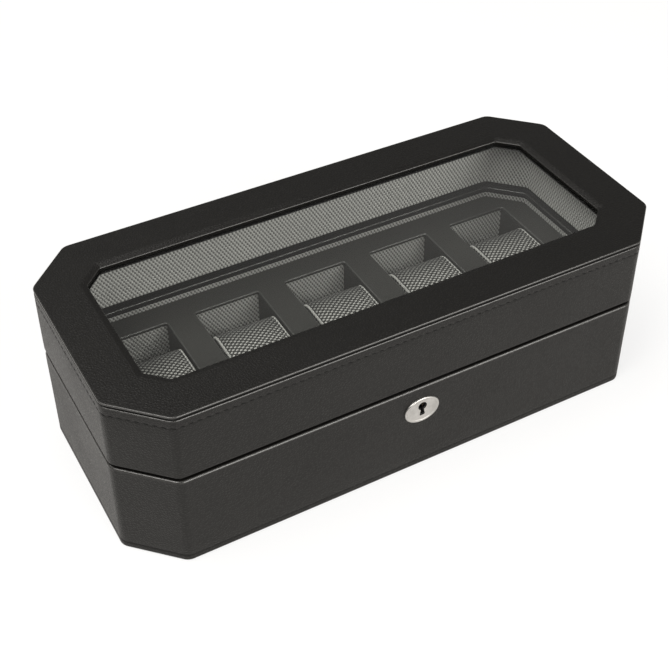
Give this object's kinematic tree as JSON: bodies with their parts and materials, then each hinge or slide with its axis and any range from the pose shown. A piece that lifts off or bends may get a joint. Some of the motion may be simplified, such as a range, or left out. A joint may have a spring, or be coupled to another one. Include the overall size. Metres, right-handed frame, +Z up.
{
  "type": "watch box",
  "caption": "Cut-corner leather-covered watch box with a hinged glazed lid, a front key lock and a tray of lift-out watch cushions.",
  "frame": {"origin": "on the table under the middle of the box's outline, in the plane of the underside pad", "axes": "+X along the length, to the right seen from the front; -Y towards the front with the lock; +Z up"},
  "size_m": [0.336, 0.1578, 0.1059],
  "materials": {
    "black_leather": "satin grained leatherette",
    "tray_leather": "smooth satin leatherette",
    "woven_lining": "two-tone grey weave",
    "cushion_weave": "two-tone grey weave",
    "underside_felt": "felt",
    "board": "raw fibreboard",
    "window_glass": "clear polished",
    "satin_nickel": "satin nickel plate",
    "blackened_steel": "matt blackened plate",
    "lock_steel": "zinc-plated steel"
  },
  "bodies": {
    "base": {"base_underside_pad": "underside_felt", "base_bottom_panel": "board", "base_front_wall": "board", "base_back_wall": "board", "base_left_wall": "board", "base_right_wall": "board", "base_corner_walls": "board", "base_leather_wrap": "black_leather", "base_lining": "woven_lining", "tray_frame": "tray_leather", "tray_side_walls": "tray_leather", "tray_front_wall": "woven_lining", "tray_back_wall": "woven_lining", "tray_floor": "woven_lining", "lock_escutcheon": "satin_nickel", "lock_case": "lock_steel", "lock_cover": "lock_steel", "lock_faceplate": "blackened_steel", "lock_faceplate_screws": "satin_nickel", "lock_spring": "lock_steel", "hinge_base_leaves": "satin_nickel", "hinge_pins": "satin_nickel", "hinge_base_screws": "satin_nickel"},
    "lid": {"lid_front_wall": "board", "lid_back_wall": "board", "lid_left_wall": "board", "lid_right_wall": "board", "lid_corner_walls": "board", "lid_top_front_rail": "board", "lid_top_back_rail": "board", "lid_top_end_rails": "board", "lid_top_corner_rails": "board", "lid_leather_top": "black_leather", "lid_leather_band": "black_leather", "lid_lining": "woven_lining", "window_glass": "window_glass", "glass_retainer": "tray_leather", "hinge_lid_leaves": "satin_nickel", "hinge_lid_screws": "satin_nickel", "lock_link_plate": "blackened_steel", "link_plate_screws": "satin_nickel"},
    "lock_bolt": {"lock_bolt": "lock_steel"},
    "cushion_1": {"watch_cushion_1": "cushion_weave"},
    "cushion_2": {"watch_cushion_2": "cushion_weave"},
    "cushion_3": {"watch_cushion_3": "cushion_weave"},
    "cushion_4": {"watch_cushion_4": "cushion_weave"},
    "cushion_5": {"watch_cushion_5": "cushion_weave"}
  },
  "joints": [
    {"name": "lid_hinge", "type": "hinge", "parent": "base", "child": "lid", "pos_m": [0, 0.0778, 0.0617], "axis": [-1, 0, 0], "range_deg": [0, 100]},
    {"name": "lock_bolt_slide", "type": "slide", "parent": "base", "child": "lock_bolt", "axis": [-1, 0, 0], "range_m": [0, 0.005]},
    {"name": "cushion_1_lift", "type": "slide", "parent": "base", "child": "cushion_1", "axis": [0, 0, 1], "range_m": [0, 0.035]},
    {"name": "cushion_2_lift", "type": "slide", "parent": "base", "child": "cushion_2", "axis": [0, 0, 1], "range_m": [0, 0.035]},
    {"name": "cushion_3_lift", "type": "slide", "parent": "base", "child": "cushion_3", "axis": [0, 0, 1], "range_m": [0, 0.035]},
    {"name": "cushion_4_lift", "type": "slide", "parent": "base", "child": "cushion_4", "axis": [0, 0, 1], "range_m": [0, 0.035]},
    {"name": "cushion_5_lift", "type": "slide", "parent": "base", "child": "cushion_5", "axis": [0, 0, 1], "range_m": [0, 0.035]}
  ]
}
